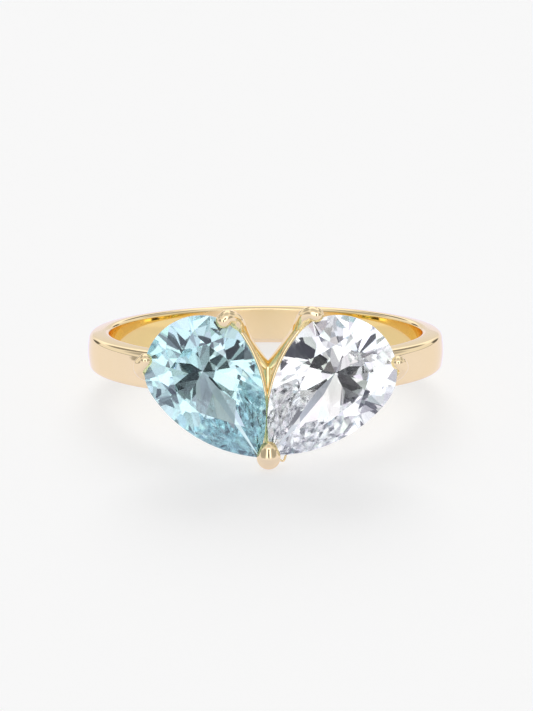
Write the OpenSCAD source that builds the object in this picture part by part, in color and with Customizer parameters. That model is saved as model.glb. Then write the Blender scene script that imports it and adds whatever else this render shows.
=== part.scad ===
// A gold ring with two pear stones set side by side, their tips together at one shared claw.
// The ring lies on its side on z = 0 with its head towards -Y. It rests as it does by itself, on the
// bead of the shared claw in front and on the lower edge of the band behind, so its head is raised.
// Head coordinates are used for all that stands on the band: across, up, and out from the finger.

/* [Finger band] */
// Inside diameter of the finger hole
finger_d = 17.3; // [15:0.1:20]
// Width of the band along the finger
band_w = 2.15; // [1.8:0.05:2.6]
// Thickness of the band at the middle of its face
band_t = 1.22; // [1:0.01:1.4]
// Radius of the rounded shoulders between the rims and the face
shoulder_r = 0.35; // [0.2:0.01:0.45]
// How far the middle of the face stands above its shoulders
dome_h = 0.06; // [0.02:0.01:0.1]
// Width of the band behind the head, where both rims are hollowed
neck_w = 1.5; // [1.3:0.05:1.8]
// Length of each hollow along the rim
neck_l = 7; // [5:0.5:9]

/* [Head] */
// Distance of the girdles of both stones from the finger's axis
girdle_out = 12.1; // [12:0.05:12.6]
// Gap left between a stone and the metal that holds it
seat_gap = 0.03; // [0.02:0.005:0.06]

/* [Aqua stone] */
// Width of the stone across its round end
aqua_w = 5.65; // [5.4:0.01:5.65]
// Length of the stone
aqua_l = 8.45; // [8.2:0.01:8.5]
// Turn of the tip from straight down, in degrees
aqua_turn = 33.6; // [32:0.1:35]
// Place of the centre of the round end, across
aqua_x = -3.74; // [-3.9:0.01:-3.74]
// Place of the centre of the round end, up
aqua_up = 1.09; // [1:0.01:1.2]

/* [Clear stone] */
// Width of the stone across its round end
clear_w = 5.86; // [5.6:0.01:5.86]
// Length of the stone
clear_l = 8.66; // [8.4:0.01:8.7]
// Turn of the tip from straight down, in degrees
clear_turn = -39; // [-40:0.1:-38]
// Place of the centre of the round end, across
clear_x = 3.9; // [3.9:0.01:4.05]
// Place of the centre of the round end, up
clear_up = 0.955; // [0.85:0.005:1.05]

/* [Stone cut] */
// Depth of the round end as a share of half the width
round_end = 0.912; // [0.88:0.002:1]
// Size of the table as a share of the outline
table_share = 0.56; // [0.5:0.01:0.62]
// Height of the crown as a share of the width
crown_share = 0.15; // [0.12:0.005:0.17]
// Depth of the pavilion as a share of the width
pavilion_share = 0.42; // [0.38:0.005:0.43]
// Thickness of the girdle where the facets meet it
girdle_t = 0.14; // [0.12:0.01:0.2]
// Height of the star facets' outer corners as a share of the crown
star_level = 0.66; // [0.6:0.01:0.72]
// Depth of the lower half facets as a share of the pavilion
lower_level = 0.77; // [0.7:0.01:0.82]
// Shift of the culet from the centre of the round end towards the tip, as a share of the width
culet_shift = 0.1; // [0:0.01:0.15]

/* [Claws] */
// Radius of the claw wires where they leave the band
root_r = 0.34; // [0.28:0.01:0.4]
// Radius of the claw wires where they leave the notch
claw_r = 0.33; // [0.25:0.01:0.36]
// Radius of the thin rails along the notch between the stones
rail_r = 0.15; // [0.12:0.01:0.18]
// Radius of the broad lower end of the egg-shaped bead on the shared claw
egg_r = 0.63; // [0.58:0.01:0.68]
// Radius of its small upper end
egg_top_r = 0.46; // [0.42:0.01:0.5]
// Height of the middle of the broad end
egg_up = -3.76; // [-3.8:0.01:-3.72]

/* [Hidden] */
GOLD = "#e3c08a";

ROUND = 48; // steps round exact curves
SIDES = 12; // sides of a swept wire
STEPS = 3; // rings of a swept wire between two of its points
MAINS = 8; // main facets round a stone
SUB = 4; // girdle steps along each half facet
RING = MAINS * 2 * SUB;

inner_r = finger_d / 2;
outer_r = inner_r + band_t;
shoulder_at = outer_r - dome_h - shoulder_r;

// A stone is its width, its length, its turn, and the place of its round end's centre
AQUA = [aqua_w, aqua_l, aqua_turn, aqua_x, aqua_up];
CLEAR = [clear_w, clear_l, clear_turn, clear_x, clear_up];

// Angles of the main facets round the centre of the round end, from the tip to the heel
MAIN_AT = [[0, 0], [1, 34], [2, 84], [3, 132], [4, 180]];

// Ways of the side claws from the bead down. Each row is measured from the centre of the stone's round
// end: across, up, out from the girdle, and how much thicker than the plain wire the claw is there.
AQUA_INNER = [
    [1.6, 2.6, 0.34, 0.03], [1.92, 2.46, 0.08, 0.05], [2.15, 2.18, -0.17, 0.04],
    [2.31, 1.79, -0.5, 0.02], [2.56, 1.23, -0.95, 0], [2.97, 0.5, -1.5, 0]
];
AQUA_OUTER = [
    [-2.69, 0.35, 0.4, 0], [-2.91, 0.08, 0.2, 0.07], [-2.93, -0.21, -0.2, 0.05],
    [-2.71, -0.53, -0.6, 0.02], [-2.11, -0.81, -1.2, 0], [-1.39, -0.84, -1.9, 0]
];
CLEAR_INNER = [
    [-1.41, 2.87, 0.4, -0.09], [-1.68, 2.95, 0.35, 0.04], [-1.98, 2.76, 0.12, 0.04],
    [-2.18, 2.34, -0.25, 0.03], [-2.36, 1.86, -0.62, 0], [-2.62, 1.4, -0.95, 0], [-3.1, 0.66, -1.5, 0]
];
CLEAR_OUTER = [
    [2.86, 0.32, 0.4, -0.01], [3.01, 0.19, 0.2, 0.015], [3.08, -0.05, -0.15, 0.01],
    [2.8, -0.49, -0.6, 0], [2.21, -0.8, -1.2, 0], [1.49, -0.86, -1.9, 0]
];

// The balls of each bead, with their radii, from the centre of the stone's round end as above
AQUA_INNER_BEAD = [[1.6, 2.6, 0.34, 0.39], [1.4, 2.43, 0.4, 0.41]];
AQUA_OUTER_BEAD = [[-2.69, 0.35, 0.4, 0.37]];
CLEAR_INNER_BEAD = [[-1.41, 2.87, 0.4, 0.385]];
CLEAR_OUTER_BEAD = [[2.86, 0.32, 0.4, 0.36]];

// The four side claws: stone, bead, way, and the root on the band
CLAWS = [
    [AQUA, AQUA_INNER_BEAD, AQUA_INNER, [-0.08, 0.5, 9.75]],
    [AQUA, AQUA_OUTER_BEAD, AQUA_OUTER, [-2.9, -0.1, 9.1]],
    [CLEAR, CLEAR_INNER_BEAD, CLEAR_INNER, [0.08, 0.5, 9.75]],
    [CLEAR, CLEAR_OUTER_BEAD, CLEAR_OUTER, [3.1, -0.1, 9.1]]
];

// Angles round the stones at which the thin rails start
RAIL_FROM = [[AQUA, 1, 112], [CLEAR, -1, 109]];

// The shared claw from its root in the notch down to its bead: height, and distance out
SHARED_WAY = [[0.62, 9.85], [-0.5, 10.3], [-1.9, 10.6], [-3.1, 10.95], [-3.85, 11.55], [-3.8, 12.25]];

// The small pointed spur beside the shared claw, under the clear stone
SPUR = [[0.25, -3.75, 11.7], [0.76, -4.07, 11.75], [0.95, -3.68, 11.65]];
spur_r = 0.06;

// The ring rests on the egg-shaped bead and on the band's lower back shoulder
egg_out = 12.42;
egg_top_up = egg_up + 0.43;
egg_top_out = egg_out + 0.16;
rest_run = egg_out + shoulder_at;
rest_drop = egg_up + band_w / 2 - shoulder_r;
tilt = asin((egg_r - shoulder_r) / norm([rest_run, rest_drop])) - atan2(rest_drop, rest_run);
lift = egg_r - egg_out * sin(tilt) - egg_up * cos(tilt);
front_reach = egg_out * cos(tilt) - egg_up * sin(tilt) + egg_r;
back_reach = shoulder_at * cos(tilt) + (band_w / 2 - shoulder_r) * sin(tilt) + shoulder_r;
forward = (front_reach - back_reach) / 2;

function unit(v) = v / norm(v);
function half_w(s) = s[0] / 2;
function heel(s) = round_end * half_w(s);
function tip(s) = s[1] - heel(s);
function side_r(s) = (pow(half_w(s), 2) + pow(tip(s), 2)) / (2 * half_w(s));
function side_off(s) = side_r(s) - half_w(s);

// Distance of a pear's edge from the centre of its round end, at an angle from its tip
function reach(s, a) = abs(a) <= 90
    ? sqrt(pow(side_r(s), 2) - pow(side_off(s) * cos(a), 2)) - side_off(s) * abs(sin(a))
    : 1 / norm([cos(a) / heel(s), sin(a) / half_w(s)]);
function edge(s, a) = reach(s, a) * [cos(a), sin(a)];

// Direction square to a pear's edge, straight along the axis at its tip
function square_to(s, a) = a == 0 ? [1, 0]
    : abs(a) <= 90 ? unit(edge(s, a) + [0, sign(a) * side_off(s)])
    : unit([edge(s, a).x / pow(heel(s), 2), edge(s, a).y / pow(half_w(s), 2)]);

// Angle of a place round the girdle, counted in main facets, positive on one side and negative on the other
function facet_angle(k) = k <= MAINS / 2 ? lookup(k, MAIN_AT) : -lookup(MAINS - k, MAIN_AT);

// Where two lines n * p = c meet
function meet(n1, c1, n2, c2) =
    [c1 * n2.y - c2 * n1.y, n1.x * c2 - n2.x * c1] / (n1.x * n2.y - n1.y * n2.x);

// Height at q of the plane through three points
function plane_z(a, b, c, q) =
    let (n = cross(b - a, c - a)) a.z - (n.x * (q.x - a.x) + n.y * (q.y - a.y)) / n.z;

function at_height(p, z) = [p.x, p.y, z];

// Corners between neighbouring main facets that run from the girdle to inner points, one for each facet
function facet_corners(s, inner, z_edge, z_inner, z_corner) = [
    for (k = [0:MAINS - 1])
        let (
            n = [for (j = [k, k + 1]) square_to(s, facet_angle(j % MAINS))],
            p = [for (j = [k, k + 1]) edge(s, facet_angle(j % MAINS))],
            run = [for (j = [0, 1]) n[j] * (inner[(k + j) % MAINS] - p[j])],
            c = [for (j = [0, 1]) n[j] * p[j] + run[j] * (z_corner - z_edge) / (z_inner - z_edge)]
        )
        at_height(meet(n[0], c[0], n[1], c[1]), z_corner)
];

// Girdle points on the half facets that fall from the corners to the pear's edge
function girdle_ring(s, corners, z_edge) = [
    for (i = [0:RING - 1])
        let (
            k = floor(i / (2 * SUB)),
            start = floor(i / SUB) / 2,
            a = at_height(edge(s, facet_angle(start)), z_edge),
            b = at_height(edge(s, facet_angle((start + 0.5) % MAINS)), z_edge),
            q = edge(s, facet_angle(i / (2 * SUB)))
        )
        at_height(q, plane_z(corners[k], a, b, q))
];

// Curve through a list of rows, with STEPS rings between two of them
function spline(rows) = [
    for (i = [0:len(rows) - 2], j = [0:(i == len(rows) - 2 ? STEPS : STEPS - 1)])
        let (
            t = j / STEPS,
            b = rows[i],
            c = rows[i + 1],
            a = i == 0 ? 2 * b - c : rows[i - 1],
            d = i == len(rows) - 2 ? 2 * c - b : rows[i + 2]
        )
        b + t / 2 * ((c - a) + t * ((2 * a - 5 * b + 4 * c - d) + t * (3 * b - a - 3 * c + d)))
];

// A point beside a stone in head coordinates: angle round it, distance out from its edge, depth under the girdle
function beside(s, a, out, depth) =
    let (p = edge(s, a) + out * unit(edge(s, a)), turn = s[2] - 90)
    [
        s[3] + p.x * cos(turn) - p.y * sin(turn),
        s[4] + p.x * sin(turn) + p.y * cos(turn),
        girdle_out - depth
    ];

// Row measured from the centre of a stone's round end, in head coordinates, its radius counted from r
function from_stone(s, row, r = 0) = [s[3], s[4], girdle_out, r] + row;

// Way of a claw from its bead to its root on the band, in head coordinates, with its radius at each row
function claw_way(s, way, root) = concat([for (w = way) from_stone(s, w, claw_r)], [concat(root, root_r)]);

// A pear brilliant with its girdle at z = 0 and its tip towards +X
module pear_stone(s) {
    z_girdle = girdle_t / 2;
    z_table = z_girdle + crown_share * s[0];
    z_culet = -z_girdle - pavilion_share * s[0];
    culet = [culet_shift * s[0], 0];
    table = [
        for (k = [0:MAINS - 1])
            let (p = edge(s, facet_angle(k))) culet + table_share * (p - culet)
    ];
    stars = facet_corners(s, table, z_girdle, z_table,
        z_girdle + star_level * (z_table - z_girdle));
    keels = facet_corners(s, [for (k = [1:MAINS]) culet], -z_girdle, z_culet,
        -z_girdle + lower_level * (z_culet + z_girdle));
    star_0 = MAINS;
    top_0 = 2 * MAINS;
    low_0 = top_0 + RING;
    keel_0 = low_0 + RING;
    culet_0 = keel_0 + MAINS;
    points = concat(
        [for (p = table) at_height(p, z_table)],
        stars,
        girdle_ring(s, stars, z_girdle),
        girdle_ring(s, keels, -z_girdle),
        keels,
        [at_height(culet, z_culet)]
    );
    faces = concat(
        [[for (k = [MAINS - 1:-1:0]) k]],
        [for (k = [0:MAINS - 1]) [k, (k + 1) % MAINS, star_0 + k]],
        [for (k = [0:MAINS - 1])
            [k, star_0 + k, top_0 + k * 2 * SUB, star_0 + (k + MAINS - 1) % MAINS]],
        [for (h = [0:2 * MAINS - 1]) concat(
            [star_0 + floor(h / 2)],
            [for (i = [SUB:-1:0]) top_0 + (h * SUB + i) % RING])],
        [for (i = [0:RING - 1])
            [top_0 + i, top_0 + (i + 1) % RING, low_0 + (i + 1) % RING, low_0 + i]],
        [for (h = [0:2 * MAINS - 1]) concat(
            [keel_0 + floor(h / 2)],
            [for (i = [0:SUB]) low_0 + (h * SUB + i) % RING])],
        [for (k = [0:MAINS - 1])
            [culet_0, keel_0 + (k + MAINS - 1) % MAINS, low_0 + k * 2 * SUB, keel_0 + k]]
    );
    polyhedron(points, faces);
}

// A stone in its place on the head, or the larger seat that is cut for it
module set_stone(s, gap = 0) {
    translate([s[3], s[4], girdle_out])
        rotate([0, 0, s[2] - 90])
            scale(1 + 2 * gap / s[0])
                pear_stone(s);
}

// Place of a row without its radius
function place(row) = [row[0], row[1], row[2]];

// A wire through rows of places, each with the wire's radius there
module wire(rows, flat_to) {
    way = spline(rows);
    last = len(way) - 1;
    points = [
        for (i = [0:last])
            let (
                along = unit(place(way[min(i + 1, last)]) - place(way[max(i - 1, 0)])),
                aside = unit(cross(flat_to, along)),
                over = cross(along, aside)
            )
            for (j = [0:SIDES - 1])
                place(way[i]) + way[i][3] * (cos(360 * j / SIDES) * aside + sin(360 * j / SIDES) * over)
    ];
    skin = [
        for (i = [0:last - 1], j = [0:SIDES - 1])
            let (
                a = i * SIDES + j,
                b = i * SIDES + (j + 1) % SIDES
            )
            each [[a, a + SIDES, b], [b, a + SIDES, b + SIDES]]
    ];
    polyhedron(points, concat(
        [[for (j = [0:SIDES - 1]) j]],
        skin,
        [[for (j = [SIDES - 1:-1:0]) last * SIDES + j]]
    ));
}

// Section of the band: flat inside and on the rims, round shoulders, low dome
module band_section() {
    dome_z = band_w / 2 - shoulder_r;
    shoulder = [for (a = [90:-15:15]) [
        shoulder_at + shoulder_r * cos(a),
        dome_z + shoulder_r * sin(a)
    ]];
    dome = [for (i = [4:-1:-4]) [outer_r - dome_h * pow(i / 4, 2), dome_z * i / 4]];
    polygon(concat(
        [[inner_r, -band_w / 2], [inner_r, band_w / 2]],
        shoulder,
        dome,
        [for (i = [len(shoulder) - 1:-1:0]) [shoulder[i].x, -shoulder[i].y]]
    ));
}

// The band, with a long shallow hollow in each rim behind the head
module band() {
    hollow_d = (band_w - neck_w) / 2;
    hollow_r = (pow(neck_l / 2, 2) + pow(hollow_d, 2)) / (2 * hollow_d);
    difference() {
        rotate_extrude($fn = ROUND) band_section();
        for (side = [-1, 1])
            translate([0, -inner_r / 2, side * (neck_w / 2 + hollow_r)])
                rotate([90, 0, 0])
                    cylinder(h = outer_r, r = hollow_r, $fn = 4 * ROUND);
    }
}

// Four claws that each hold one stone, with a round bead on each
module side_claws() {
    for (c = CLAWS) {
        way = claw_way(c[0], c[2], c[3]);
        wire(way, unit(cross(place(way[0]) - c[3], [0, 0, 1])));
        for (ball = c[1])
            translate(place(from_stone(c[0], ball))) sphere(ball[3], $fn = ROUND);
    }
}

// The egg-shaped bead on the shared claw, broad end down, its small end up and forwards
module egg_bead() {
    run = [0, egg_top_up - egg_up, egg_top_out - egg_out];
    turn_over = acos((egg_r - egg_top_r) / norm(run)); // where the straight side touches both ends
    translate([0, egg_up, egg_out])
        rotate([-atan2(run.y, run.z), 0, 0])
            rotate_extrude($fn = ROUND)
                polygon(concat(
                    [for (i = [0:6]) egg_top_r * [sin(turn_over * i / 6), cos(turn_over * i / 6)] + [0, norm(run)]],
                    [for (i = [0:9])
                        let (a = turn_over + (180 - turn_over) * i / 9)
                        egg_r * [sin(a), cos(a)]]
                ));
}

// The claw that both tips share, with its spur
module shared_claw() {
    last = len(SHARED_WAY) - 1;
    wire(
        [for (i = [0:last]) [0, SHARED_WAY[i][0], SHARED_WAY[i][1], root_r + (claw_r - root_r) * i / last]],
        [1, 0, 0]
    );
    egg_bead();
    for (i = [0, 1])
        wire([for (p = [SPUR[i], SPUR[i + 1]]) concat(p, spur_r)], [0, 0, 1]);
    translate(SPUR[1]) sphere(spur_r * 1.2, $fn = ROUND);
}

// Thin rails along both sides of the notch, just under the girdles
module notch_rails() {
    for (r = RAIL_FROM)
        wire([for (a = [r[2]:-16:24]) concat(beside(r[0], r[1] * a, 0.04, 0.26), rail_r)], [0, 0, 1]);
}

// Puts what is drawn in head coordinates on the front of the band
module on_head() {
    rotate([90, 0, 0]) children();
}

// Lays the ring down as it rests
module at_rest() {
    translate([0, forward, lift])
        rotate([-tilt, 0, 0])
            children();
}

module ring_mount() {
    color(GOLD)
        at_rest()
            difference() {
                union() {
                    band();
                    on_head() {
                        side_claws();
                        shared_claw();
                        notch_rails();
                    }
                }
                on_head() {
                    set_stone(AQUA, seat_gap);
                    set_stone(CLEAR, seat_gap);
                }
            }
}

module aqua_stone() {
    color("#9ecbcf")
        at_rest()
            on_head()
                set_stone(AQUA);
}

module clear_stone() {
    color("#eef1f5")
        at_rest()
            on_head()
                set_stone(CLEAR);
}

ring_mount();
aqua_stone();
clear_stone();
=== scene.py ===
# %% [markdown]
# # A birthstone ring in Blender
# Two pear-cut stones, one aqua and one colourless, sit side by side on a polished gold ring and make
# a heart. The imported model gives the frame: every piece here is in metres and goes where it says.
# Sizes are written in millimetres, as a jeweller would give them, and turned to metres at the end.

# %% The frame
from math import acos, atan2, cos, degrees, hypot, pi, radians, sin, sqrt

import bmesh
import bpy
from mathutils import Matrix, Vector


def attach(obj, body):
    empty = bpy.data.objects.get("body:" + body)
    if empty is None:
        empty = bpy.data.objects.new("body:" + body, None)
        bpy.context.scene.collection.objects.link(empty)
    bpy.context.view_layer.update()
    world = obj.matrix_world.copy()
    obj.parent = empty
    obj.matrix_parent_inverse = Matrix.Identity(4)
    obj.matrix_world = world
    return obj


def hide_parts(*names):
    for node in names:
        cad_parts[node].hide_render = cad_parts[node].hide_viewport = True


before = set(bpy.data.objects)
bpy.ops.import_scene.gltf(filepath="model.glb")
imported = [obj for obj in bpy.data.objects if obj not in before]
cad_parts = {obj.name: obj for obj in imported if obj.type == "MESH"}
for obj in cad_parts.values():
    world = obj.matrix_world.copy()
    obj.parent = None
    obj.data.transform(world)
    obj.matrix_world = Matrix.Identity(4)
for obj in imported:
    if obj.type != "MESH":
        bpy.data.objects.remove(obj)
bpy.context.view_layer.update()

MM = 0.001

# %% [markdown]
# ## How the ring lies
# A ring on a table rests on two places: here on the bead in front and on the lower edge of the band
# behind. So its hole leans by a few degrees. The shapes are easier to make upright, round the z axis,
# and each finished mesh is then laid down with one matrix.

# %% The pose of rest
INNER_R = 8.65
BAND_T = 1.22
BAND_W = 2.15
OUTER_R = INNER_R + BAND_T
TILT = radians(8.62346)
FORWARD = 1.8308
LIFT = 2.48524

lean_back = Matrix.Rotation(-TILT, 4, "X")
TO_REST = Matrix.Translation((0, FORWARD * MM, LIFT * MM)) @ lean_back @ Matrix.Scale(MM, 4)
JOIN_WITHIN = 1e-5


def head_point(across, up, out):
    """A place on the head, in the upright ring's millimetres: across, up, and out from the finger."""
    return Vector((across, -out, up))


def finish_piece(bm, name):
    """Lays an upright mesh down, makes it an object that rides on the ring, and returns it."""
    bmesh.ops.remove_doubles(bm, verts=bm.verts, dist=JOIN_WITHIN)
    bmesh.ops.recalc_face_normals(bm, faces=bm.faces)
    bmesh.ops.transform(bm, matrix=TO_REST, verts=bm.verts)
    for face in bm.faces:
        face.smooth = True
    mesh = bpy.data.meshes.new(name)
    bm.to_mesh(mesh)
    bm.free()
    piece = bpy.data.objects.new(name, mesh)
    bpy.context.scene.collection.objects.link(piece)
    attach(piece, "root")
    print(name, len(mesh.polygons), "faces")
    return piece


# %% [markdown]
# ## The band
# A plain band is a section turned once round the finger. `spin` does just that. The section is nearly
# flat inside and on its rims, has soft inner edges, round shoulders and a face that is slightly domed,
# so that light glides over it. The inner edges start a hundredth of a millimetre outside the hole, where
# the wall has curved back that far. Behind the stones both rims are filed in to a narrow neck, so the
# vertices there are drawn towards the middle of the width.

# %% The section of the band
SHOULDER_R = 0.35
DOME_H = 0.06
INNER_EDGE_R = 0.24
COMFORT_R = 40
EDGE_BACK = 0.01
RIM_DROP = 0.07
RIM_ENDS = 77
TURN_STEPS = 256


def arc(centre, r, first, last, count):
    """Points on an arc, from one angle to another, in degrees."""
    step = (last - first) / count
    return [
        (centre[0] + r * cos(radians(first + step * i)), centre[1] + r * sin(radians(first + step * i)))
        for i in range(count + 1)
    ]


def line(a, b, count):
    """Points between two places, without the ends."""
    return [(a[0] + (b[0] - a[0]) * i / count, a[1] + (b[1] - a[1]) * i / count) for i in range(1, count)]


half = BAND_W / 2
edge_x = INNER_R + EDGE_BACK + INNER_EDGE_R
shoulder_x = OUTER_R - DOME_H - SHOULDER_R
shoulder_z = half - RIM_DROP - SHOULDER_R * sin(radians(RIM_ENDS))
rim_x = shoulder_x + SHOULDER_R * cos(radians(RIM_ENDS))


def rim_height(x):
    """Half the band's width at a place on its rim, which drops a little towards the face."""
    return half - RIM_DROP * ((x - edge_x) / (rim_x - edge_x)) ** 2


upper_half = [
    *[(INNER_R + (z ** 2) / (2 * COMFORT_R), z) for z in (0.16, 0.32, 0.48, 0.64)],
    *arc((edge_x, half - INNER_EDGE_R), INNER_EDGE_R, 180, 90, 10),
    *[(x, rim_height(x)) for x, _ in line((edge_x, half), (rim_x, half), 8)],
    *arc((shoulder_x, shoulder_z), SHOULDER_R, RIM_ENDS, 5, 12),
    *[(OUTER_R - DOME_H * (z / shoulder_z) ** 2, z) for z in (0.6, 0.5, 0.4, 0.27, 0.13)],
]
section = [(INNER_R, 0), *upper_half, (OUTER_R, 0), *[(x, -z) for x, z in reversed(upper_half)]]
print("section points:", len(section))

# %% The band itself
NECK_W = 1.5
NECK_L = 7
hollow_d = (BAND_W - NECK_W) / 2
hollow_r = ((NECK_L / 2) ** 2 + hollow_d ** 2) / (2 * hollow_d)


def neck_share(x):
    """How wide the band is at a place behind the head, as a share of its full width."""
    if abs(x) >= NECK_L / 2:
        return 1
    return (NECK_W / 2 + hollow_r - sqrt(hollow_r ** 2 - x ** 2)) / (BAND_W / 2)


def turn_once(bm, row, edges, steps):
    """Turns a row of points and its edges once round the z axis, and joins the two ends."""
    bmesh.ops.spin(
        bm, geom=row + edges, cent=(0, 0, 0), axis=(0, 0, 1), angle=2 * pi, steps=steps, use_merge=True,
    )


bm = bmesh.new()
row = [bm.verts.new((x, 0, z)) for x, z in section]
loop = [bm.edges.new((row[i], row[(i + 1) % len(row)])) for i in range(len(row))]
turn_once(bm, row, loop, TURN_STEPS)
for v in bm.verts:
    if v.co.y < 0:
        v.co.z *= neck_share(v.co.x)
band = finish_piece(bm, "finger_band")

# %% [markdown]
# ## Wires and beads
# The claws are thick drawn wires that the setter has bent over the stones and rounded off at the end.
# A sweep makes the whole claw at once: a circle is extruded from station to station along a curve, and
# its radius follows the wire and then the round end. The curve passes through a few chosen rows, and
# each row holds a place and the radius there, so one spline smooths both.

# %% A curve through chosen points
def curve_through(rows, per_span=10):
    """Smooth stations along a curve through the rows (Catmull-Rom)."""
    found = []
    for i in range(len(rows) - 1):
        b, c = rows[i], rows[i + 1]
        a = rows[i - 1] if i else 2 * b - c
        d = rows[i + 2] if i + 2 < len(rows) else 2 * c - b
        for j in range(per_span):
            t = j / per_span
            bend = (2 * a - 5 * b + 4 * c - d) + t * (3 * b - a - 3 * c + d)
            found.append(b + t / 2 * ((c - a) + t * bend))
    return found + [rows[-1].copy()]


# %% A sweep
POLE_R = 1e-3


def sweep(bm, way, radii, sides=32):
    """Extrudes a circle along the stations of a way, with a radius at each, and closes both ends."""
    aside = (way[1] - way[0]).orthogonal().normalized()
    before = None
    for i, (place, r) in enumerate(zip(way, radii)):
        along = (way[min(i + 1, len(way) - 1)] - way[max(i - 1, 0)]).normalized()
        aside = (aside - along * aside.dot(along)).normalized()
        over = along.cross(aside)
        here = Matrix((
            (aside.x * r, over.x * r, along.x, place.x),
            (aside.y * r, over.y * r, along.y, place.y),
            (aside.z * r, over.z * r, along.z, place.z),
            (0, 0, 0, 1),
        ))
        if before is None:
            ring = bmesh.ops.create_circle(bm, cap_ends=True, segments=sides, radius=1, matrix=here)["verts"]
            rim = list({e for v in ring for e in v.link_edges})
        else:
            made = bmesh.ops.extrude_edge_only(bm, edges=rim)["geom"]
            ring = [g for g in made if isinstance(g, bmesh.types.BMVert)]
            rim = [g for g in made if isinstance(g, bmesh.types.BMEdge) and all(v in ring for v in g.verts)]
            bmesh.ops.transform(bm, matrix=here @ before.inverted(), verts=ring)
        before = here
    if radii[-1] < POLE_R:
        bmesh.ops.pointmerge(bm, verts=ring, merge_co=way[-1])
    else:
        bmesh.ops.contextual_create(bm, geom=rim)


def round_end(places, radii, steps=16):
    """Adds stations that close a wire with half a ball."""
    centre, r = places[-1], radii[-1]
    along = (places[-1] - places[-2]).normalized()
    turns = [radians(90 * i / steps) for i in range(1, steps + 1)]
    places += [centre + along * r * sin(turn) for turn in turns]
    radii += [max(r * cos(turn), POLE_R / 2) for turn in turns]


# %% [markdown]
# ## Where a stone's edge runs
# The claws stand at the edge of the stones, so their ways are given beside that edge: an angle round
# the stone, a distance out, and a depth under its widest line, the girdle. The pear's outline is half
# an ellipse for the round end and two arcs that meet at the tip.

# %% Places beside a stone
GIRDLE_OUT = 12.1
ROUND_END = 0.912
AQUA = dict(w=5.65, l=8.45, turn=33.6, across=-3.74, up=1.09)
CLEAR = dict(w=5.86, l=8.66, turn=-39, across=3.9, up=0.955)


def reach(stone, angle):
    """Distance of the pear's edge from the centre of its round end, at an angle from its tip in degrees."""
    half_w, heel = stone["w"] / 2, ROUND_END * stone["w"] / 2
    tip = stone["l"] - heel
    side_r = (half_w ** 2 + tip ** 2) / (2 * half_w)
    side_off = side_r - half_w
    a = radians(angle)
    if abs(angle) <= 90:
        return sqrt(side_r ** 2 - (side_off * cos(a)) ** 2) - side_off * abs(sin(a))
    return 1 / hypot(cos(a) / heel, sin(a) / half_w)


def beside(stone, angle, out, depth):
    """A place beside a stone, in the upright ring's millimetres."""
    r = reach(stone, angle) + out
    turn = radians(stone["turn"] - 90 + angle)
    return head_point(stone["across"] + r * cos(turn), stone["up"] + r * sin(turn), GIRDLE_OUT - depth)


# %% [markdown]
# ## Seats
# Where a claw meets a stone, the setter cuts a seat to the stone's own shape. Here the stone from the
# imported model, grown by a hair, is taken out of each piece of metal with a Boolean.

# %% The cutters for the seats
SEAT_GAP = 0.03
SHARP_OVER = radians(35)
JOIN_CUT_WITHIN = 1e-4


def seat_cutter(node, stone):
    """A packed stone, upright and in millimetres, grown by the gap round the middle of its round end."""
    bm = bmesh.new()
    bm.from_mesh(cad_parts[node].data)
    bmesh.ops.transform(bm, verts=bm.verts, matrix=TO_REST.inverted())
    bmesh.ops.remove_doubles(bm, verts=bm.verts, dist=JOIN_CUT_WITHIN)
    centre = head_point(stone["across"], stone["up"], GIRDLE_OUT)
    bmesh.ops.translate(bm, verts=bm.verts, vec=-centre)
    grow = 1 + 2 * SEAT_GAP / stone["w"]
    bmesh.ops.scale(bm, verts=bm.verts, vec=(grow, grow, grow))
    bmesh.ops.translate(bm, verts=bm.verts, vec=centre)
    mesh = bpy.data.meshes.new(node + "_seat")
    bm.to_mesh(mesh)
    bm.free()
    cutter = bpy.data.objects.new(node + "_seat", mesh)
    bpy.context.scene.collection.objects.link(cutter)
    return cutter


cutters = [seat_cutter("aqua_stone", AQUA), seat_cutter("clear_stone", CLEAR)]
print("seats are cut by:", [cutter.name for cutter in cutters])


def cut_seats(bm):
    """Takes both stones out of an upright mesh of metal, and marks the cut's edges as sharp."""
    bmesh.ops.remove_doubles(bm, verts=bm.verts, dist=JOIN_WITHIN)
    bmesh.ops.recalc_face_normals(bm, faces=bm.faces)
    blank = bpy.data.objects.new("blank", bpy.data.meshes.new("blank"))
    bm.to_mesh(blank.data)
    bpy.context.scene.collection.objects.link(blank)
    for cutter in cutters:
        cut = blank.modifiers.new("seat", "BOOLEAN")
        cut.operation, cut.solver, cut.use_self, cut.object = "DIFFERENCE", "EXACT", True, cutter
    bpy.context.view_layer.update()
    made = bpy.data.meshes.new_from_object(blank.evaluated_get(bpy.context.evaluated_depsgraph_get()))
    bm.clear()
    bm.from_mesh(made)
    bpy.data.objects.remove(blank)
    bmesh.ops.remove_doubles(bm, verts=bm.verts, dist=JOIN_CUT_WITHIN)
    for edge in bm.edges:
        edge.smooth = not edge.is_manifold or edge.calc_face_angle(0) < SHARP_OVER


# %% [markdown]
# ## The side claws
# Each stone has two claws of its own. The inner ones come up out of the notch between the stones, bulge
# outwards and curl over the stones' edges, and the outer ones reach from the band to the round ends.
# Every row of a way is measured from the centre of the stone's round end: across, up, out from the
# girdle, and the radius. The last row is the middle of the bead.

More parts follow.
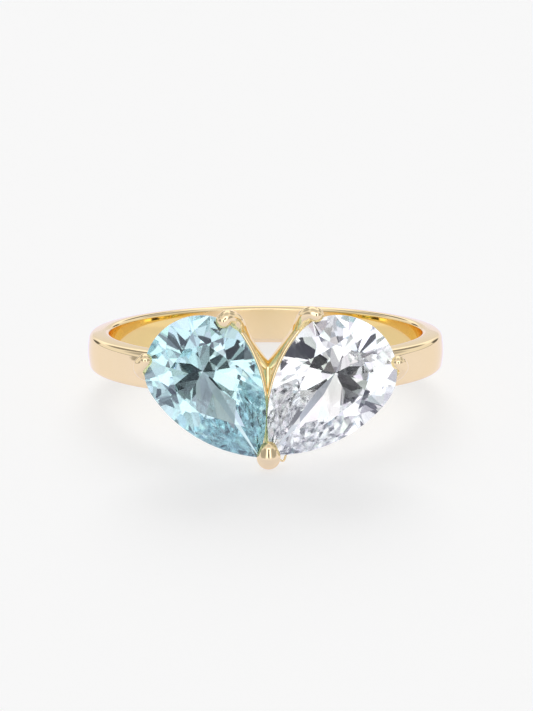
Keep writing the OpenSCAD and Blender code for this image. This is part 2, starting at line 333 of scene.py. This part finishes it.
# %% The four side claws
CLAW_R = 0.33
ROOT_R = 0.34
SIDE_CLAWS = {  # the stone, the root, and the rows: across, up, out, radius
    "inner_claw_aqua": (AQUA, (-0.08, 0.5, 9.75), [
        (2.97, 0.5, -1.5, 0.33), (2.56, 1.23, -0.95, 0.33), (2.31, 1.79, -0.5, 0.35),
        (2.15, 2.18, -0.17, 0.37), (1.92, 2.46, 0.08, 0.38), (1.62, 2.6, 0.34, 0.39), (1.4, 2.43, 0.4, 0.41),
    ]),
    "outer_claw_aqua": (AQUA, (-2.9, -0.1, 9.1), [
        (-1.39, -0.84, -1.9, 0.33), (-2.11, -0.81, -1.2, 0.33), (-2.71, -0.53, -0.6, 0.35),
        (-2.93, -0.21, -0.2, 0.38), (-2.91, 0.08, 0.2, 0.4), (-2.69, 0.35, 0.4, 0.37),
    ]),
    "inner_claw_clear": (CLEAR, (0.08, 0.5, 9.75), [
        (-3.1, 0.66, -1.5, 0.33), (-2.62, 1.4, -0.95, 0.33), (-2.36, 1.86, -0.62, 0.33),
        (-2.18, 2.34, -0.25, 0.36), (-1.98, 2.75, 0.12, 0.37), (-1.68, 2.93, 0.34, 0.37),
        (-1.41, 2.86, 0.4, 0.385),
    ]),
    "outer_claw_clear": (CLEAR, (3.1, -0.1, 9.1), [
        (1.49, -0.86, -1.9, 0.33), (2.21, -0.8, -1.2, 0.33), (2.8, -0.49, -0.6, 0.33),
        (3.08, -0.05, -0.15, 0.34), (3.01, 0.19, 0.2, 0.345), (2.86, 0.32, 0.4, 0.36),
    ]),
}

gold_pieces = [band]
for name, (stone, root, rows) in SIDE_CLAWS.items():
    rows = [(stone["across"] + across, stone["up"] + up, GIRDLE_OUT + out, r) for across, up, out, r in rows]
    way = curve_through([Vector((*head_point(*row[:3]), row[3])) for row in [(*root, ROOT_R), *rows]])
    places, radii = [w.to_3d() for w in way], [w[3] for w in way]
    round_end(places, radii)
    bm = bmesh.new()
    sweep(bm, places, radii)
    cut_seats(bm)
    gold_pieces.append(finish_piece(bm, name))

# %% [markdown]
# ## The shared claw
# Both tips are held by one claw. It leaves the neck in the notch, runs down behind the line where the
# stones touch, and comes forward to an egg-shaped bead. The egg's broad end is below and its small end
# leans up and forwards, so its outline is two arcs and the straight line that touches both. That
# outline is spun round the egg's own axis.

# %% The shared claw
SHARED_WAY = [  # up, out
    (0.62, 9.85), (-0.5, 10.3), (-1.9, 10.6), (-3.1, 10.95), (-3.85, 11.55), (-3.8, 12.25),
]

bm = bmesh.new()
way = curve_through([head_point(0, up, out) for up, out in SHARED_WAY])
sweep(bm, way, [ROOT_R + (CLAW_R - ROOT_R) * i / (len(way) - 1) for i in range(len(way))])
cut_seats(bm)
gold_pieces.append(finish_piece(bm, "shared_claw"))

# %% The egg-shaped bead
EGG_R, EGG_TOP_R = 0.63, 0.46
EGG_UP, EGG_OUT = -3.76, 12.42
EGG_RISE, EGG_FORWARD = 0.43, 0.16
EGG_STEPS = 64

egg_run = hypot(EGG_RISE, EGG_FORWARD)
meets_at = degrees(acos((EGG_R - EGG_TOP_R) / egg_run))
outline = arc((0, egg_run), EGG_TOP_R, 90, 90 - meets_at, 16) + arc((0, 0), EGG_R, 90 - meets_at, -90, 40)
bm = bmesh.new()
row = [bm.verts.new((max(x, 0), 0, z)) for x, z in outline]
loop = [bm.edges.new(pair) for pair in zip(row, row[1:])]
turn_once(bm, row, loop, EGG_STEPS)
lean = Matrix.Rotation(atan2(EGG_FORWARD, EGG_RISE), 4, "X")
bmesh.ops.transform(bm, matrix=Matrix.Translation(head_point(0, EGG_UP, EGG_OUT)) @ lean, verts=bm.verts)
cut_seats(bm)
gold_pieces.append(finish_piece(bm, "shared_bead"))

# %% The small spur
SPUR = [(0.25, -3.75, 11.7), (0.76, -4.07, 11.75), (0.95, -3.68, 11.65)]  # across, up, out
SPUR_R = 0.06

bm = bmesh.new()
way = curve_through([head_point(*p) for p in SPUR], 12)
sweep(bm, way, [SPUR_R] * len(way), 16)
cut_seats(bm)
gold_pieces.append(finish_piece(bm, "claw_spur"))

# %% [markdown]
# ## The notch rails
# Thin rails follow the stones' edges down both sides of the notch and meet below it. On the bench they
# are lengths of fine wire, bent round the stones and soldered under them. Here each is swept along places
# beside its stone's edge, at even angles from the round side to the tip.

# %% The two rails
RAIL_R = 0.15
RAIL_OUT, RAIL_DEPTH = 0.04, 0.26
RAIL_STEP, RAIL_STOP = 16, 23

for name, stone, side, start in (("notch_rail_aqua", AQUA, 1, 112), ("notch_rail_clear", CLEAR, -1, 109)):
    points = [beside(stone, side * a, RAIL_OUT, RAIL_DEPTH) for a in range(start, RAIL_STOP, -RAIL_STEP)]
    way = curve_through(points, 8)
    bm = bmesh.new()
    sweep(bm, way, [RAIL_R] * len(way), 20)
    cut_seats(bm)
    gold_pieces.append(finish_piece(bm, name))

for cutter in cutters:
    bpy.data.objects.remove(cutter)
for piece in gold_pieces:
    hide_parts("ring_mount")


# %% [markdown]
# ## Materials
# A finish is a small tree of nodes. The helpers here make a tree, add a node to it, and stand for three
# steps that come back: a ramp from 0 to 1, a number between two others, and a colour between two others.

# %% Node helpers
def new_material(name):
    """A material with an empty tree and its output node."""
    mat = bpy.data.materials.new(name)
    mat.use_nodes = True
    mat.node_tree.nodes.clear()
    return mat, mat.node_tree, mat.node_tree.nodes.new("ShaderNodeOutputMaterial")


def add(tree, kind, values=None, **settings):
    """A node with its settings, and with values or links for its sockets."""
    node = tree.nodes.new("ShaderNode" + kind)
    for key, value in settings.items():
        setattr(node, key, value)
    for key, value in (values or {}).items():
        if isinstance(value, bpy.types.NodeSocket):
            tree.links.new(value, node.inputs[key])
        else:
            node.inputs[key].default_value = value
    return node


def result(tree, kind, values=None, **settings):
    """The first output of a new node."""
    return add(tree, kind, values, **settings).outputs[0]


def ramp(tree, value, start, end, **settings):
    """A number that goes from 0 to 1 as a value goes from start to end."""
    return result(tree, "MapRange", {"Value": value, "From Min": start, "From Max": end}, **settings)


def between(tree, share, first, second):
    """A number between two others."""
    return result(tree, "Mix", {"Factor": share, 2: first, 3: second}, data_type="FLOAT")


def mixed(tree, share, first, second):
    """A colour between two others."""
    return result(tree, "MixRGB", {"Fac": share, "Color1": first, "Color2": second})


# %% [markdown]
# ## Polishing marks
# No polish is perfect. A buffing wheel leaves soft clouds that are a little duller, and hair-fine waves.
# Both come from noise in the object's own millimetres, so they stay on the metal from every side. The
# group serves the gold and the stones, and each use says how dull its marks are.

# %% A group for fine polishing marks
CLOUD_SCALE, WAVE_SCALE = 900, 6000
CLOUD_LOW, CLOUD_HIGH = 0.35, 0.7
WAVE_HEIGHT = 0.0001

polish = bpy.data.node_groups.new("polishing_marks", "ShaderNodeTree")
for name in ("Low", "High", "Bump"):
    polish.interface.new_socket(name, in_out="INPUT", socket_type="NodeSocketFloat")
for name, kind in (("Roughness", "Float"), ("Normal", "Vector"), ("Mask", "Float")):
    polish.interface.new_socket(name, in_out="OUTPUT", socket_type="NodeSocket" + kind)
g_in, g_out = polish.nodes.new("NodeGroupInput"), polish.nodes.new("NodeGroupOutput")
place = add(polish, "TexCoord").outputs["Object"]
cloud = result(polish, "TexNoise", {"Vector": place, "Scale": CLOUD_SCALE, "Detail": 3})
wave = result(polish, "TexNoise", {"Vector": place, "Scale": WAVE_SCALE, "Detail": 2})
level = result(polish, "MapRange", {
    "Value": cloud, "From Min": CLOUD_LOW, "From Max": CLOUD_HIGH,
    "To Min": g_in.outputs["Low"], "To Max": g_in.outputs["High"],
})
bump = result(polish, "Bump", {"Strength": g_in.outputs["Bump"], "Distance": WAVE_HEIGHT, "Height": wave})
polish.links.new(level, g_out.inputs["Roughness"])
polish.links.new(bump, g_out.inputs["Normal"])
polish.links.new(cloud, g_out.inputs["Mask"])
print("polishing marks:", len(polish.nodes), "nodes")

# %% [markdown]
# ## The wall inside the finger hole
# A wheel reaches the outside of a ring better than its inside. So the wall of the hole is satin behind
# the stones and opposite them. At the sides its gold is painted deeper, a painted reflection that stands
# for the gold mirroring itself there. The wall is found by its distance from the hole's axis, and its
# middle by the distance from x = 0.

# %% A group that finds the wall, its satin middle and its sides with painted deeper gold
WALL_DEPTH = 0.04
WALL_EDGE = 0.03
SATIN_FROM, SATIN_TO = 2.5, 5

wall_finder = bpy.data.node_groups.new("finger_wall", "ShaderNodeTree")
for name in ("Satin", "Painted_Mirror"):
    wall_finder.interface.new_socket(name, in_out="OUTPUT", socket_type="NodeSocketFloat")
g_out = wall_finder.nodes.new("NodeGroupOutput")
place = add(wall_finder, "TexCoord").outputs["Object"]
axis = TO_REST.to_3x3() @ Vector((0, 0, 1 / MM))
from_centre = result(wall_finder, "VectorMath", {0: place, 1: TO_REST.translation}, operation="SUBTRACT")
across_axis = result(wall_finder, "VectorMath", {0: from_centre, 1: axis}, operation="CROSS_PRODUCT")
from_axis = add(wall_finder, "VectorMath", {0: across_axis}, operation="LENGTH").outputs["Value"]
wall_r = INNER_R + WALL_DEPTH
wall = ramp(wall_finder, from_axis, wall_r * MM, (wall_r - WALL_EDGE) * MM)
across = result(wall_finder, "SeparateXYZ", {0: place})
aside = result(wall_finder, "Math", {0: across}, operation="ABSOLUTE")
middle = ramp(wall_finder, aside, SATIN_TO * MM, SATIN_FROM * MM, interpolation_type="SMOOTHSTEP")
satin = result(wall_finder, "Math", {0: wall, 1: middle}, operation="MULTIPLY")
# The sides of the wall, outside the satin middle, are where the deeper gold is painted, a painted
# reflection.
painted_mirror = result(wall_finder, "Math", {0: wall, 1: satin}, operation="SUBTRACT")
wall_finder.links.new(satin, g_out.inputs["Satin"])
wall_finder.links.new(painted_mirror, g_out.inputs["Painted_Mirror"])
print("wall finder:", len(wall_finder.nodes), "nodes")

# %% [markdown]
# ## Gold
# Polished 14 carat gold is a bare metal: full Metallic, a warm pale colour and hardly any roughness. The
# clouds of the polish shift its colour a little. The tint on the edges keeps the gold warm where it is
# seen at a slant, as on the rims. Rays that leave a stone pass the gold, so the stones stay clear of the
# claws' shade.

# %% The gold
SATIN = 0.36
GOLD_LOW, GOLD_HIGH, GOLD_BUMP = 0.03, 0.07, 0.0012
GOLD = (0.92, 0.71, 0.34, 1)
PALE_GOLD = (0.94, 0.735, 0.37, 1)
# The deeper gold is painted on the wall's sides: a painted reflection of the gold mirroring itself.
PAINTED_MIRROR_GOLD = (0.92, 0.68, 0.22, 1)
EDGE_TINT = (1, 0.93, 0.75, 1)

gold, tree, out = new_material("polished_gold")
marks = add(tree, "Group", {"Low": GOLD_LOW, "High": GOLD_HIGH, "Bump": GOLD_BUMP}, node_tree=polish)
wall_parts = add(tree, "Group", node_tree=wall_finder)
tone = mixed(tree, marks.outputs["Mask"], GOLD, PALE_GOLD)
# The base colour is painted deeper on the wall's sides, a painted reflection of the gold that the wall
# mirrors.
shader = add(tree, "BsdfPrincipled", {
    "Base Color": mixed(tree, wall_parts.outputs["Painted_Mirror"], tone, PAINTED_MIRROR_GOLD),
    "Metallic": 1,
    "Roughness": between(tree, wall_parts.outputs["Satin"], marks.outputs["Roughness"], SATIN),
    "Normal": marks.outputs["Normal"],
    "Specular Tint": EDGE_TINT,
})
tree.links.new(shader.outputs[0], out.inputs["Surface"])
for piece in gold_pieces:
    piece.data.materials.append(gold)
    piece.visible_transmission = False
print("gold on", len(gold_pieces), "pieces")

# %% [markdown]
# ## Stones
# A cut stone is clear all through, and its facets send the light back to the eye after several bounces.
# So it needs a true refractive index and a little blur from the marks of the polishing wheel. The aqua
# stone also takes some red out of the light on its way through, which is its absorption. The stones keep
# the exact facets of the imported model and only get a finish.

# %% The stones
FACET_LOW, FACET_HIGH = 0.034, 0.043
STONE_IOR = 1.75
AQUA_TINT, CLEAR_TINT = (0.77, 0.92, 0.945, 1), (0.955, 0.975, 1, 1)
AQUA_DEPTH = (0.25, 0.72, 0.80, 1)
AQUA_DENSITY = 50


def stone_material(name, node, tint):
    """Puts a clear stone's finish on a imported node, and returns the material's tree and output node."""
    mat, tree, out = new_material(name)
    marks = add(tree, "Group", {"Low": FACET_LOW, "High": FACET_HIGH}, node_tree=polish)
    shader = add(tree, "BsdfPrincipled", {
        "Base Color": tint, "Metallic": 0, "Roughness": marks.outputs["Roughness"],
        "IOR": STONE_IOR, "Transmission Weight": 1,
    })
    tree.links.new(shader.outputs[0], out.inputs["Surface"])
    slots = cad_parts[node].material_slots
    for slot in slots:
        slot.material = mat
    print(name, "on", node, "in", len(slots), "slots")
    return tree, out


tree, out = stone_material("aqua_gem", "aqua_stone", AQUA_TINT)
depth = result(tree, "VolumeAbsorption", {"Color": AQUA_DEPTH, "Density": AQUA_DENSITY})
tree.links.new(depth, out.inputs["Volume"])
stone_material("clear_gem", "clear_stone", CLEAR_TINT)

# %% [markdown]
# ## The floor
# The ring lies on pale matt card. Its grain is too fine to count, but keeps the card from being one flat
# colour. The card also glows a little, which stands for the light of a whole white room, and what the
# metal mirrors of it is cooler, as daylight is. It reaches far behind the ring and less far in front.

# %% The card
CARD_SIZE = 1.5
CARD_FRONT = 0.16
CARD_GLOW = 0.62
COOL_GLOW = (1, 1.05, 1.75, 1)
PLAIN_GLOW = (1, 1, 1, 1)
CARD_DARK, CARD_LIGHT = (0.40, 0.40, 0.40, 1), (0.41, 0.41, 0.41, 1)
GRAIN_SCALE = 500

bm = bmesh.new()
bmesh.ops.create_grid(bm, x_segments=1, y_segments=1, size=CARD_SIZE)
bmesh.ops.translate(bm, verts=bm.verts, vec=(0, CARD_SIZE - CARD_FRONT, 0))
mesh = bpy.data.meshes.new("floor")
bm.to_mesh(mesh)
bm.free()
floor = bpy.data.objects.new("floor", mesh)
bpy.context.scene.collection.objects.link(floor)
card, tree, out = new_material("pale_card")
place = add(tree, "TexCoord").outputs["Object"]
grain = result(tree, "TexNoise", {"Vector": place, "Scale": GRAIN_SCALE, "Detail": 4})
to_camera = add(tree, "LightPath").outputs["Is Camera Ray"]
shader = add(tree, "BsdfPrincipled", {
    "Base Color": mixed(tree, grain, CARD_DARK, CARD_LIGHT), "Roughness": 1, "Specular IOR Level": 0,
    "Emission Color": mixed(tree, to_camera, COOL_GLOW, PLAIN_GLOW), "Emission Strength": CARD_GLOW,
})
tree.links.new(shader.outputs[0], out.inputs["Surface"])
floor.data.materials.append(card)
floor.visible_transmission = False
print("floor:", [round(side, 2) for side in floor.dimensions], "m")

# %% [markdown]
# ## The light on the metal
# A polished ring shows what it mirrors, so a studio hangs a tent of white paper round it, with cards in
# it. The world stands for that tent: a pale base, and soft round patches that each lie in one direction.
# White sheets behind light the rims. Grey and dark cards at the sides draw the brown line along the
# shoulders. The lamp round the lens is the bright ring that the beads show, with the dark lens in it. A
# dark gap runs along the horizon, where paper and table meet, except straight ahead and behind.

# %% The tent and its cards
TENT = 0.95
METAL_LIGHTS = {  # azimuth, elevation, half angle, softness in degrees, brightness
    "white sheet high behind": (180, 50, 35, 15, 1.3),
    "lamp behind": (180, 24, 9, 6, 1.25),
    "paper low behind": (180, 0, 12, 6, 0.86),
    "grey card in front on the right": (55, 10, 15, 12, 0.45),
    "grey card in front on the left": (-55, 10, 15, 12, 0.45),
    "grey top": (0, 80, 18, 12, 0.7),
    "grey card high on the right": (105, 42, 12, 14, 0.5),
    "grey card high on the left": (-105, 42, 12, 14, 0.5),
    "dark card behind on the right": (150, 32, 9, 8, 0.32),
    "dark card behind on the left": (-150, 32, 9, 8, 0.32),
    "black edge low behind on the right": (150, 3, 5, 4, 0.15),
    "black edge low behind on the left": (-150, 3, 5, 4, 0.15),
    "lamp round the lens": (0, 18, 27, 4, 1.9),
    "dark lens": (0, 18, 11, 3, 0.2),
    "dark edge under the lens": (0, -1, 7, 4, 0.1),
}
COOL = (0.97, 1.01, 1.33)
GAP_LOW, GAP_HIGH, GAP_LIGHT = 1, 5, 0.45
GAP_ENDS = (0, 25, 20)


def patch(tree, way_seen, azimuth, elevation, spread, soft):
    """A soft round mask in one direction of the surroundings. Azimuth 0 is the camera's side."""
    a, e = radians(azimuth), radians(elevation)
    towards = (sin(a) * cos(e), -cos(a) * cos(e), sin(e))
    near = add(tree, "VectorMath", {0: way_seen, 1: towards}, operation="DOT_PRODUCT").outputs["Value"]
    edge, core = cos(radians(spread + soft)), cos(radians(spread))
    return ramp(tree, near, edge, core, interpolation_type="SMOOTHSTEP")


world = bpy.data.worlds.new("tent")
bpy.context.scene.world = world
world.use_nodes = True
tree = world.node_tree
tree.nodes.clear()
way_seen = add(tree, "TexCoord").outputs["Generated"]
on_metal = TENT
for *where, value in METAL_LIGHTS.values():
    on_metal = between(tree, patch(tree, way_seen, *where), on_metal, value)
rise = add(tree, "SeparateXYZ", {0: way_seen}).outputs["Z"]
height = result(tree, "Math", {0: rise}, operation="ABSOLUTE")
gap = ramp(tree, height, sin(radians(GAP_HIGH)), sin(radians(GAP_LOW)), interpolation_type="SMOOTHSTEP")
for azimuth in (0, 180):
    no_gap = patch(tree, way_seen, azimuth, *GAP_ENDS)
    gap = result(tree, "Math", {0: gap, 1: no_gap}, operation="SUBTRACT", use_clamp=True)
on_metal = between(tree, gap, on_metal, GAP_LIGHT)
on_metal = result(tree, "VectorMath", {0: COOL, 3: on_metal}, operation="SCALE")
print("patches seen by the metal:", len(METAL_LIGHTS))

# %% [markdown]
# ## The light on the floor
# The photo's shadow lies in front of the ring and repeats its curve, so the floor's light comes from
# behind and above. It is even light with one soft lamp in it.

# %% The lamp for the floor
FLOOR_LIGHT = 0.5
LAMP = (180, 31, 13, 9)
LAMP_LIGHT = 5.7

lamp = patch(tree, way_seen, *LAMP)
on_floor = result(tree, "Math", {0: lamp, 1: LAMP_LIGHT, 2: FLOOR_LIGHT}, operation="MULTIPLY_ADD")
print("lamp behind at", LAMP[1], "degrees")

# %% [markdown]
# ## The light in the stones
# A cut stone gathers light from all sides into its facets, so an even tent would leave it flat. Soft
# cells of light and dark stand for the many small things in a room. White and black cards stand in turn
# in rings round the dark lens, and give the broad bright and dark facets. Smaller cells turn the light a
# little to other hues, as fire does.

# %% Cells, lights and cards for the stones
GEM_BASE = 0.8
GEM_CELLS = 0.65
CELL_SCALE = 11
CELL_SOFT = 0.2
SPARK_SCALE = 17
SPARK_HUE = 0.08
GREY = (0.5, 0.5, 0.5, 1)
GEM_LOW, GEM_HIGH = 0.02, 1.6
LENS_RISE = radians(18)  # the camera looks down by this much
LENS_SPREAD, LENS_SOFT, LENS_CHANGE = 11, 3, -0.8
CARD_RINGS = ((35, 6), (65, 10))  # degrees off the lens, number of cards
CARD_SPREAD, CARD_SOFT = 10, 5
CARD_CHANGE = 0.8  # white cards add it, black cards take it away


def round_the_lens(off_lens, turn):
    """Azimuth and elevation of a place that many degrees off the lens. Turn 0 is straight above it."""
    off, round_it = radians(off_lens), radians(turn)
    side, above, ahead = sin(off) * sin(round_it), sin(off) * cos(round_it), cos(off)
    flat = ahead * cos(LENS_RISE) - above * sin(LENS_RISE)
    height = ahead * sin(LENS_RISE) + above * cos(LENS_RISE)
    return degrees(atan2(side, flat)), degrees(atan2(height, hypot(side, flat)))


gem_lights = [(*round_the_lens(0, 0), LENS_SPREAD, LENS_SOFT, LENS_CHANGE)]
for off_lens, count in CARD_RINGS:
    for i in range(count):
        change = CARD_CHANGE if i % 2 else -CARD_CHANGE
        gem_lights.append((*round_the_lens(off_lens, 360 * i / count), CARD_SPREAD, CARD_SOFT, change))

cell_seen = {"Vector": way_seen, "Scale": CELL_SCALE, "Smoothness": CELL_SOFT}
cells = add(tree, "TexVoronoi", cell_seen, feature="SMOOTH_F1").outputs["Color"]
chance = result(tree, "SeparateColor", {0: cells})
darkest, lightest = GEM_BASE - GEM_CELLS, GEM_BASE + GEM_CELLS
in_gem = result(tree, "MapRange", {"Value": chance, "To Min": darkest, "To Max": lightest})
for *where, change in gem_lights:
    card_seen = patch(tree, way_seen, *where)
    in_gem = result(tree, "Math", {0: card_seen, 1: change, 2: in_gem}, operation="MULTIPLY_ADD")
in_gem = result(tree, "Clamp", {"Value": in_gem, "Min": GEM_LOW, "Max": GEM_HIGH})
sparks = add(tree, "TexVoronoi", {"Vector": way_seen, "Scale": SPARK_SCALE}).outputs["Color"]
hue = mixed(tree, SPARK_HUE, GREY, sparks)
twice = result(tree, "Math", {0: in_gem, 1: 2}, operation="MULTIPLY")
in_gem = result(tree, "VectorMath", {0: hue, 3: twice}, operation="SCALE")
print("lights and cards seen by the stones:", len(gem_lights))

# %% [markdown]
# ## The surroundings put together
# Each kind of ray gets its own light. Rays that have been through a stone meet the cells, mirror rays
# from the metal meet the tent, all others meet the floor's light, and the camera sees a plain backdrop
# of the floor's own paleness.

# %% One world for all rays
BACKDROP = (0.93, 0.93, 0.93, 1)

paths = add(tree, "LightPath")
through = result(tree, "Math", {0: paths.outputs["Transmission Depth"], 1: 0.5}, operation="GREATER_THAN")
light = mixed(tree, paths.outputs["Is Glossy Ray"], on_floor, on_metal)
light = mixed(tree, through, light, in_gem)
around = result(tree, "Background", {"Color": light, "Strength": 1})
behind = result(tree, "Background", {"Color": BACKDROP, "Strength": 1})
seen = result(tree, "MixShader", {0: paths.outputs["Is Camera Ray"], 1: around, 2: behind})
out = tree.nodes.new("ShaderNodeOutputWorld")
tree.links.new(seen, out.inputs["Surface"])
print("world:", len(tree.nodes), "nodes")

# %% [markdown]
# ## The camera
# The photo looks down on the lying ring by 18 degrees, from 20 cm off and nearly straight ahead. The
# focal length in pixels and the small shifts of the aim come from matching the band's outline.

# %% The camera itself
CAMERA_DISTANCE = 200
CAMERA_RISE = radians(9.38) + TILT
CAMERA_ROUND = radians(-0.7)
AIM_RIGHT, AIM_DOWN = 0.0445, 0.384
FOCAL_PX = 3596
LONG_SIDE = 711
SENSOR = 36

centre = Vector((0, FORWARD, LIFT)) * MM
flat = cos(CAMERA_RISE)
back = Vector((sin(CAMERA_ROUND) * flat, -cos(CAMERA_ROUND) * flat, sin(CAMERA_RISE)))
right = Vector((0, 0, 1)).cross(back).normalized()
up = back.cross(right)
aim = centre + (AIM_RIGHT * right - AIM_DOWN * up) * MM
camera = bpy.data.objects.new("camera", bpy.data.cameras.new("camera"))
bpy.context.scene.collection.objects.link(camera)
camera.data.sensor_width = SENSOR
camera.data.lens = FOCAL_PX * SENSOR / LONG_SIDE
camera.data.clip_start, camera.data.clip_end = 0.01, 10
camera.location = aim + back * CAMERA_DISTANCE * MM
camera.rotation_mode = "QUATERNION"
camera.rotation_quaternion = back.to_track_quat("Z", "Y")
bpy.context.scene.camera = camera
print("lens:", round(camera.data.lens, 1), "mm, looking down by", round(degrees(CAMERA_RISE), 2), "degrees")

# %% [markdown]
# ## Colours and light paths
# The plain Standard view shows the colours as they are set. Light in a cut stone bounces many times
# before it comes out, so the paths are long, and a clamp keeps stray bright dots away.

# %% The view and the bounces
STONE_BOUNCES, METAL_BOUNCES = 24, 12

scene = bpy.context.scene
scene.view_settings.view_transform = "Standard"
scene.view_settings.look = "None"
scene.cycles.use_denoising = True
scene.cycles.max_bounces = STONE_BOUNCES
scene.cycles.transmission_bounces = STONE_BOUNCES
scene.cycles.glossy_bounces = METAL_BOUNCES
scene.cycles.sample_clamp_indirect = 10
print("bounces:", scene.cycles.max_bounces)
